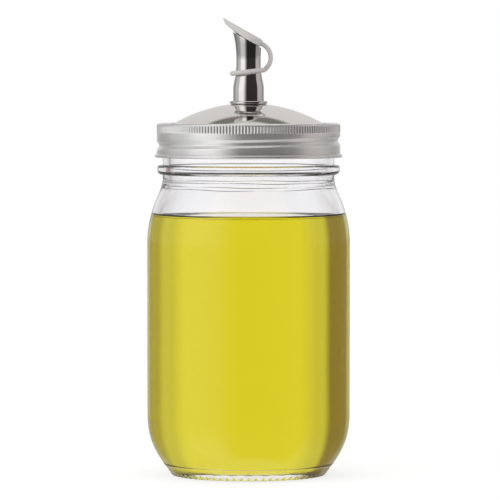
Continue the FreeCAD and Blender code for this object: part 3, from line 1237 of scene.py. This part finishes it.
@dataclass
class PourSpout:
    """Turned spout with bead flange, waist and slanted trumpet mouth."""

    wall: float = 0.7
    bottom: float = 180.15
    flange_radius: float = 9.2
    flange_thickness: float = 1.1
    flange_bead: float = 0.75
    base_radius: float = 7.5
    base_height: float = 5.3
    base_pull: float = 4.5
    waist_radius: float = 5.97
    waist_height: float = 19.3
    waist_lower_pull: float = 9.0
    waist_upper_pull: float = 8.0
    lip_radius: float = 9.0
    lip_height: float = 217.55
    lip_pull: float = 4.7
    lip_slope: float = 28.0
    tail_radius: float = 6.3
    tail_bottom: float = 176.93
    collar_radius: float = 8.2
    collar_bottom: float = 178.23
    collar_top: float = 179.03
    mouth_tilt: float = 29.3
    mouth_low_height: float = 26.8
    steps: int = 192
    rows: int = 72

    @property
    def base_bottom(self) -> float:
        """Height where the base stands on the flange."""
        return self.bottom + self.flange_thickness

    @property
    def waist(self) -> float:
        """Height of the narrowest place."""
        return self.base_bottom + self.waist_height

    @property
    def mouth_fall(self) -> float:
        """Fall of the slanted mouth for each step to its low side."""
        return math.tan(math.radians(self.mouth_tilt))

    @property
    def mouth_height(self) -> float:
        """Height where the axis meets the plane of the slanted mouth."""
        return self.bottom + self.mouth_low_height + self.waist_radius * self.mouth_fall

    def mouth_frame(self) -> Matrix:
        """Frame of the mouth's plane: X down the slant, Z out of the mouth."""
        place = Matrix.Translation((0.0, 0.0, self.mouth_height))
        return place @ Matrix.Rotation(math.radians(self.mouth_tilt), 4, "Y")

    def side(self, inset: float) -> Outline:
        """Outline of the side.

        Args:
            inset: How far it is moved in.

        Returns:
            Points from the base to the lip.
        """
        base_top = self.base_bottom + self.base_height
        base = self.base_radius - inset
        waist = self.waist_radius - inset
        slope = math.radians(self.lip_slope)
        lip = (self.lip_radius - inset, self.lip_height)
        lip_arrive = (lip[0] - math.sin(slope) * self.lip_pull, lip[1] - math.cos(slope) * self.lip_pull)
        return joined(
            straight((base, self.base_bottom), (base, base_top), steps=12),
            bezier((base, base_top), (base, base_top + self.base_pull),
                   (waist, self.waist - self.waist_lower_pull), (waist, self.waist), steps=60),
            bezier((waist, self.waist), (waist, self.waist + self.waist_upper_pull),
                   lip_arrive, lip, steps=60),
        )

    def cut_side(self, inset: float) -> np.ndarray:
        """Side of the spout up to the slanted mouth.

        Args:
            inset: How far the face lies inside the outer one.

        Returns:
            Radius and height of each point, two tables of rows by steps round.
        """
        outline = np.array(self.side(inset))
        order = np.linspace(0.0, 1.0, len(outline))
        grid = np.zeros((2, self.rows, self.steps))
        for step, angle in enumerate(round_angles(self.steps)):
            fall = outline[:, 0] * math.cos(angle) * self.mouth_fall
            over = outline[:, 1] + fall - self.mouth_height
            places = np.linspace(0.0, np.interp(0.0, over, order), self.rows)
            for axis in range(2):
                grid[axis, :, step] = np.interp(places, order, outline[:, axis])
        return grid

    def build(self, finishes: Finishes) -> None:
        """Makes the spout's piece.

        Args:
            finishes: Materials of the bottle.
        """
        bore = self.tail_radius - self.wall
        flat = self.flange_radius - self.flange_bead
        middle = self.base_bottom - self.flange_bead
        corners = [
            (bore, self.tail_bottom),
            (self.tail_radius, self.tail_bottom),
            (self.tail_radius, self.collar_bottom),
            (self.collar_radius, self.collar_bottom),
            (self.collar_radius, self.collar_top),
            (self.tail_radius, self.collar_top),
            (self.tail_radius, self.bottom),
            (flat, middle - self.flange_bead),
        ]
        tail = joined(corners, arc((flat, middle), self.flange_bead, -90.0, 90.0, steps=12))
        grid = np.concatenate((
            outline_grid(tail, self.steps),
            self.cut_side(0.0),
            self.cut_side(self.wall)[:, ::-1],
            outline_grid([(bore, self.bottom)], self.steps),
        ), axis=1)
        mesh = turned_grid("pour_spout_shell", grid, closed=True, sharp=40.0)
        add_piece(mesh, Body.LID, Slot.POLISHED, finishes.polished, "pour_spout")


@dataclass
class SpoutCap:
    """Silicone cap with a bevelled top, a finger tab and a plug for the mouth.

    The plug's end is given by shares of its size and rises over its end, the lower edge by insets and
    rises over the seat, and the upper edge by insets and drops from the top.
    """

    spout: PourSpout
    seat: float = 0.15
    thickness: float = 3.5
    head_radius: float = 7.1
    head_shift: float = 1.0
    tab_radius: float = 3.4
    tab_offset: float = 12.0
    tab_undercut: float = 4.3
    plug_shift: float = 0.7
    plug_length: float = 6.2
    plug_width: float = 5.0
    plug_depth: float = 1.8
    plug_end: tuple[Point, ...] = ((0.86, 0.0), (0.93, 0.35))
    lower_edge: tuple[Point, ...] = ((0.3, 0.0), (0.06, 0.12), (0.0, 0.35))
    upper_edge: tuple[Point, ...] = ((0.0, 0.55), (0.08, 0.49), (0.55, 0.08), (0.8, 0.0))
    strap_root_length: float = 0.9
    strap_root_height: float = 1.75
    steps: int = 160

    @property
    def top(self) -> float:
        """Height of the cap's top over the mouth."""
        return self.seat + self.thickness

    def ring(self, inset: float) -> np.ndarray:
        """Egg-shaped ring of points in the plane of the mouth.

        Args:
            inset: How far it is moved in.

        Returns:
            Two numbers for each point.
        """
        lean = math.acos((self.head_radius - self.tab_radius) / self.tab_offset)
        head_steps = self.steps * 2 // 3
        head = np.linspace(math.pi - lean, lean - math.pi, head_steps)
        tab = np.linspace(math.pi + lean, math.pi - lean, self.steps - head_steps)
        head_centre = -self.head_shift
        tab_centre = head_centre - self.tab_offset
        head_radius = self.head_radius - inset
        tab_radius = self.tab_radius - inset
        return np.vstack((
            np.stack((head_centre + head_radius * np.cos(head), head_radius * np.sin(head)), axis=-1),
            np.stack((tab_centre + tab_radius * np.cos(tab), tab_radius * np.sin(tab)), axis=-1),
        ))

    def layer(self, inset: float, height: float) -> np.ndarray:
        """Ring at a height over the mouth, lifted where the tab is cut back underneath.

        Args:
            inset: How far it is moved in.
            height: Its height over the mouth.

        Returns:
            Three numbers for each point.
        """
        flat = self.ring(inset)
        tip = -self.head_shift - self.tab_offset - self.tab_radius
        part = np.clip((flat[:, 0] - tip) / self.tab_undercut, 0.0, 1.0)
        lowest = self.top - self.thickness * part
        return np.column_stack((flat, np.maximum(lowest, height)))

    def plug_layer(self, share: float, height: float) -> np.ndarray:
        """Oval ring of the plug, with each point on the way to the same point of the cap.

        Args:
            share: Share of the plug's full size.
            height: Its height over the mouth.

        Returns:
            Three numbers for each point.
        """
        flat = self.ring(0.0)
        angle = np.arctan2(flat[:, 1], flat[:, 0] + self.plug_shift)
        return np.column_stack((
            -self.plug_shift + self.plug_length * share * np.cos(angle),
            self.plug_width * share * np.sin(angle),
            np.full(len(flat), height),
        ))

    def strap_root(self) -> Vector:
        """Where the strap leaves the cap.

        Returns:
            The place in the frame of the solids.
        """
        back = self.head_radius - self.head_shift + self.strap_root_length
        root = Vector((back, 0.0, self.seat + self.strap_root_height))
        return self.spout.mouth_frame() @ root

    def build(self, finishes: Finishes) -> None:
        """Makes the cap's piece.

        Args:
            finishes: Materials of the bottle.
        """
        layers = [self.plug_layer(share, rise - self.plug_depth) for share, rise in self.plug_end]
        layers.append(self.plug_layer(1.0, self.seat))
        layers.extend(self.layer(inset, self.seat + rise) for inset, rise in self.lower_edge)
        layers.extend(self.layer(inset, self.top - drop) for inset, drop in self.upper_edge)
        faces = ring_faces(len(layers), self.steps, False) + end_faces(len(layers), self.steps)
        place = np.array(self.spout.mouth_frame())
        points = np.vstack(layers) @ place[:3, :3].T + place[:3, 3]
        mesh = finished_mesh("spout_cap_moulding", points * MM, faces, sharp=32.0)
        add_piece(mesh, Body.CAP, Slot.SILICONE, finishes.silicone, "spout_cap")


@dataclass
class CapTether:
    """Loose ring round the spout's waist and the strap that bends up to the cap."""

    cap: SpoutCap
    strap_radius: float = 1.1
    strap_reach: float = 3.7
    strap_embed: float = 2.0
    ring_radius: float = 7.77
    ring_section: float = 1.15
    ring_offset: float = -0.2
    ring_tilt: float = 6.4
    ring_below_waist: float = 5.2
    section_steps: int = 24
    ring_steps: int = 128
    sharp: float = 60.0

    def ring_frame(self) -> Matrix:
        """Frame of the tilted ring, its right side up."""
        place = Vector((self.ring_offset, 0.0, self.cap.spout.waist - self.ring_below_waist))
        return Matrix.Translation(place) @ Matrix.Rotation(math.radians(-self.ring_tilt), 4, "Y")

    def ring_end(self) -> Vector:
        """Where the strap joins the middle line of the ring."""
        return self.ring_frame() @ Vector((self.ring_radius, 0.0, 0.0))

    def strap_path(self) -> np.ndarray:
        """Middle line of the strap.

        Returns:
            Points from inside the cap down to the ring.
        """
        mouth_turn = self.cap.spout.mouth_frame().to_3x3()
        root = self.cap.strap_root()
        heading = mouth_turn @ Vector((1.0, 0.0, 0.0))
        inward = mouth_turn @ Vector((0.0, 0.0, -1.0))
        tilt = self.cap.spout.mouth_tilt
        upper_radius = self.strap_reach / (1 - math.sin(math.radians(tilt)))
        upper_centre = root + inward * upper_radius
        upper = arc((upper_centre.x, upper_centre.z), upper_radius, 90.0 - tilt, 0.0, steps=14)
        ring_end = self.ring_end()
        across = upper[-1][0] - ring_end.x
        down = upper[-1][1] - ring_end.z
        lower_radius = (across ** 2 + down ** 2) / (2 * across)
        lower_centre = upper[-1][0] - lower_radius
        lower_angle = math.degrees(math.atan2(down, ring_end.x - lower_centre))
        lower = arc((lower_centre, upper[-1][1]), lower_radius, 0.0, -lower_angle, steps=22)
        inside = root - heading * self.strap_embed
        run = joined(straight((inside.x, inside.z), (root.x, root.z), steps=3), upper, lower)
        return np.array([(x, 0.0, z) for x, z in run])

    def build(self, finishes: Finishes) -> None:
        """Makes the ring and the strap."""
        self.build_ring(finishes)
        self.build_strap(finishes)

    def build_ring(self, finishes: Finishes) -> None:
        """Makes the ring, which stays with the lid.

        Args:
            finishes: Materials of the bottle.
        """
        section = [(self.ring_radius + self.ring_section * math.cos(angle),
                    self.ring_section * math.sin(angle)) for angle in round_angles(self.section_steps)]
        ring = turned_mesh("tether_ring", section, self.ring_steps, closed=True, sharp=self.sharp)
        place = self.ring_frame()
        place.translation *= MM
        ring.transform(place)
        add_piece(ring, Body.LID, Slot.SILICONE, finishes.silicone, "cap_tether")

    def build_strap(self, finishes: Finishes) -> None:
        """Makes the strap, whose path bends up from the ring to the cap.

        Args:
            finishes: Materials of the bottle.
        """
        strap = tube_mesh("tether_strap", self.strap_path(), Vector((0.0, 1.0, 0.0)), self.strap_radius,
                          self.section_steps, self.sharp)
        piece = dressed(strap, finishes.silicone)
        tuple(self.cap.strap_root() * MM)
        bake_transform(piece)
        LOG.info("%s bends between %s and %s", piece.name, Body.LID.value, Body.CAP.value)


@dataclass
class LidGasket:
    """Flat sealing ring under the dome's flange; its solid is shown as it is."""

    node: str = "lid_gasket"

    def build(self, finishes: Finishes) -> None:
        """Gives the solid its finish.

        Args:
            finishes: Materials of the bottle.
        """
        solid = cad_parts[self.node]
        solid.data.materials.clear()
        solid.data.materials.append(finishes.silicone)
        LOG.info("%s keeps its solid", self.node)


# Studio


@dataclass(frozen=True)
class Studio:
    """White studio: a bright backdrop, a soft lamp on the left, a dark front, a pale floor and a camera."""

    camera_distance: float = 1.95
    camera_elevation: float = 2.4
    camera_target: tuple[float, float, float] = (0.0007, 0.0, 0.1090)
    camera_reach: float = 100.0
    picture_width: float = 0.2425
    sensor_width: float = 36.0
    daylight: float = 0.7
    overhead_light: float = 0.88
    floor_side: float = 0.6
    floor_front: float = 0.25
    floor_height: float = -0.0001
    floor_grey: float = 0.42
    floor_glow: float = 0.74
    lamp_place: tuple[float, float, float] = (-1.0, -0.84, 0.64)
    lamp_width: float = 1.1
    lamp_height: float = 1.0
    lamp_power: float = 4.4

    def world(self) -> None:
        """White to the camera, panels to metal, a lit backdrop through glass and even light elsewhere."""
        world = bpy.data.worlds.new("Studio")
        bpy.context.scene.world = world
        world.use_nodes = True
        nodes = Nodes(world.node_tree)
        place = nodes.add("ShaderNodeTexCoord")
        parts = nodes.add("ShaderNodeSeparateXYZ", {"Vector": place.outputs["Generated"]}).outputs
        turn = nodes.math("ARCTAN2", parts["X"], nodes.math("MULTIPLY", parts["Y"], -1.0))
        around = nodes.add("ShaderNodeMapRange", {
            "Value": turn, "From Min": -math.pi, "From Max": math.pi}).outputs["Result"]
        upward = nodes.add("ShaderNodeMapRange", {"Value": parts["Z"], "From Min": -1.0}).outputs["Result"]
        mirrored = self.shaded(nodes, around, self.panels(), upward, self.ceiling())
        overhead = self.rise(nodes, upward, self.overhead())
        mirrored = nodes.mix(overhead, mirrored, grey(self.overhead_light))
        through = self.shaded(nodes, around, self.backdrop(), upward, self.backdrop_height())
        path = nodes.add("ShaderNodeLightPath").outputs
        seen = nodes.mix(path["Is Glossy Ray"], grey(self.daylight), mirrored)
        seen = nodes.mix(path["Is Transmission Ray"], seen, through)
        seen = nodes.mix(path["Is Camera Ray"], seen, grey(1.0))
        background = nodes.add("ShaderNodeBackground", {"Color": seen})
        nodes.add("ShaderNodeOutputWorld", {"Surface": background.outputs["Background"]})

    @staticmethod
    def panels() -> Stops:
        """Light that metal mirrors, round the horizon.

        Returns:
            Degrees from the camera's side to the right, and the colour there.
        """
        back = (0.69, 0.68, 0.67)
        grey_side = (0.53, 0.535, 0.535)
        dim = (0.32, 0.31, 0.305)
        dark = (0.033, 0.03, 0.03)
        warm = (0.50, 0.46, 0.45)
        lamp = (1.0, 1.0, 0.99)
        half = (0.38, 0.38, 0.375)
        return [(-180.0, back), (-158.0, back), (-148.0, dim), (-122.0, dim), (-110.0, grey_side),
                (-84.0, grey_side), (-72.0, lamp), (-40.0, lamp), (-26.0, half), (-14.0, dark),
                (67.0, dark), (73.0, warm), (112.0, warm), (120.0, dim), (146.0, dim), (156.0, back),
                (180.0, back)]

    @staticmethod
    def ceiling() -> Stops:
        """Share of the panels' light by height: less just under the horizon and a dark ring above.

        Returns:
            Degrees upward, and the share there.
        """
        full = (1.0, 1.0, 1.0)
        low = (0.6, 0.6, 0.6)
        ring = (0.30, 0.28, 0.27)
        return [(-90.0, full), (-36.0, full), (-12.0, low), (-2.0, low), (0.0, full), (45.0, full),
                (49.0, ring), (56.0, ring), (59.0, full)]

    @staticmethod
    def overhead() -> Stops:
        """Share of the pale light straight above and under the bottle.

        Returns:
            Degrees upward, and the share there.
        """
        none = (0.0, 0.0, 0.0)
        full = (1.0, 1.0, 1.0)
        return [(-90.0, full), (-66.0, full), (-56.0, none), (58.0, none), (66.0, full)]

    @staticmethod
    def backdrop() -> Stops:
        """Light seen through glass and oil, round the horizon: a dim strip on each side.

        Returns:
            Degrees from the camera's side to the right, and the colour there.
        """
        white = (1.0, 1.0, 1.0)
        pale = (0.77, 0.77, 0.77)
        olive = (0.55, 0.52, 0.49)
        brown = (0.29, 0.23, 0.22)
        return [(-180.0, white), (-160.0, white), (-151.0, pale), (-145.5, pale), (-140.0, brown),
                (-116.0, brown), (-106.0, pale), (-96.0, white), (104.0, white), (111.0, olive),
                (130.0, olive), (137.0, pale), (145.0, pale), (153.0, white), (180.0, white)]

    @staticmethod
    def backdrop_height() -> Stops:
        """Share of that light by height: the backdrop ends above the bottle.

        Returns:
            Degrees upward, and the share there.
        """
        full = (1.0, 1.0, 1.0)
        dim = (0.24, 0.24, 0.24)
        return [(-90.0, full), (34.0, full), (42.0, dim)]

    def shaded(self, nodes: Nodes, around: Socket, sides: Stops, upward: Socket, heights: Stops) -> Socket:
        """Light by direction, as a colour round the horizon times a share by height.

        Args:
            nodes: Helper of the world's nodes.
            around: Place round the horizon, from 0 to 1.
            sides: Degrees and colour of each stop round the horizon.
            upward: Place between straight down and straight up, from 0 to 1.
            heights: Degrees and share of each stop upward.

        Returns:
            The colour's socket.
        """
        places = [degrees / 360.0 + 0.5 for degrees, _ in sides]
        product = nodes.add("ShaderNodeMix", data_type="RGBA", blend_type="MULTIPLY", inputs={
            "Factor": 1.0,
            "A": self.ramp(nodes, around, places, sides),
            "B": self.rise(nodes, upward, heights)})
        return product.outputs["Result"]

    def rise(self, nodes: Nodes, upward: Socket, heights: Stops) -> Socket:
        """Share by height, from stops in degrees upward."""
        places = [(math.sin(math.radians(degrees)) + 1) / 2 for degrees, _ in heights]
        return self.ramp(nodes, upward, places, heights)

    @staticmethod
    def ramp(nodes: Nodes, value: Socket, places: list[float], stops: Stops) -> Socket:
        """Colour ramp with given stops.

        Args:
            nodes: Helper of the world's nodes.
            value: Value that the ramp is read by.
            places: Place of each stop on the ramp, from 0 to 1.
            stops: Degrees and colour of each stop, of which the colour is used.

        Returns:
            The ramp's colour socket.
        """
        node = nodes.add("ShaderNodeValToRGB", {"Fac": value})
        elements = node.color_ramp.elements
        elements.remove(elements[-1])
        for number, (place, (_, colour)) in enumerate(zip(places, stops)):
            element = elements[0] if number == 0 else elements.new(place)
            element.position = place
            element.color = (*colour, 1.0)
        return node.outputs["Color"]

    def floor(self) -> None:
        """Pale floor with the bottle's soft shadow; glass and metal show the backdrop in place of it."""
        side = self.floor_side
        corners = ((-side, -self.floor_front), (side, -self.floor_front), (side, side), (-side, side))
        mesh = bpy.data.meshes.new("studio_floor")
        mesh.from_pydata([(x, y, self.floor_height) for x, y in corners], [], [(0, 1, 2, 3)])
        material, nodes, shader, output = new_material("Pale studio floor")
        nodes.feed(shader, {
            "Base Color": grey(self.floor_grey),
            "Roughness": 0.9,
            "Specular IOR Level": 0.0,
            "Emission Color": grey(1.0),
            "Emission Strength": self.floor_glow,
        })
        path = nodes.add("ShaderNodeLightPath").outputs
        either = nodes.math("MAXIMUM", path["Is Transmission Ray"], path["Is Glossy Ray"])
        clear = nodes.add("ShaderNodeBsdfTransparent")
        mix = nodes.add("ShaderNodeMixShader", {
            "Fac": either, 1: shader.outputs["BSDF"], 2: clear.outputs["BSDF"]})
        nodes.feed(output, {"Surface": mix.outputs["Shader"]})
        mesh.materials.append(material)
        linked("studio_floor", mesh)

    def lamp(self) -> None:
        """One broad soft lamp on the left, whose lower edge is level with the bottle's shoulder."""
        light = bpy.data.lights.new("left_soft_lamp", "AREA")
        light.shape = "RECTANGLE"
        light.size = self.lamp_width
        light.size_y = self.lamp_height
        light.energy = self.lamp_power
        lamp = linked("left_soft_lamp", light)
        lamp.location = self.lamp_place
        facing = Vector((-self.lamp_place[0], -self.lamp_place[1], 0.0))
        lamp.rotation_euler = facing.to_track_quat("-Z", "Y").to_euler()
        lamp.visible_glossy = False
        lamp.visible_transmission = False

    def camera(self) -> None:
        """Long lens a little above the middle of the bottle, straight from the front."""
        data = bpy.data.cameras.new("photo_camera")
        data.sensor_width = self.sensor_width
        data.lens = self.sensor_width * self.camera_distance / self.picture_width
        data.clip_end = self.camera_reach
        camera = linked("photo_camera", data)
        tilt = math.radians(self.camera_elevation)
        target = Vector(self.camera_target)
        camera.location = target + Vector((0.0, -math.cos(tilt), math.sin(tilt))) * self.camera_distance
        camera.rotation_euler = (target - camera.location).to_track_quat("-Z", "Y").to_euler()
        bpy.context.scene.camera = camera

    def build(self) -> None:
        """Sets up light, floor and camera."""
        bpy.context.scene.view_settings.view_transform = "Standard"
        self.world()
        self.floor()
        self.lamp()
        self.camera()
        LOG.info("studio is ready")


def main() -> None:
    """Builds the bottle piece by piece, then the studio."""
    logging.basicConfig(level=logging.INFO, format="%(name)s: %(message)s")
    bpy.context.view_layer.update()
    finishes = Finishes()
    jar = GlassJar()
    spout = PourSpout()
    cap = SpoutCap(spout)
    for piece in (jar, OilFill(jar), LidGasket(), LidDome(), ScrewBand(), spout, cap, CapTether(cap)):
        piece.build(finishes)
    Studio().build()


if __name__ == "__main__":
    main()
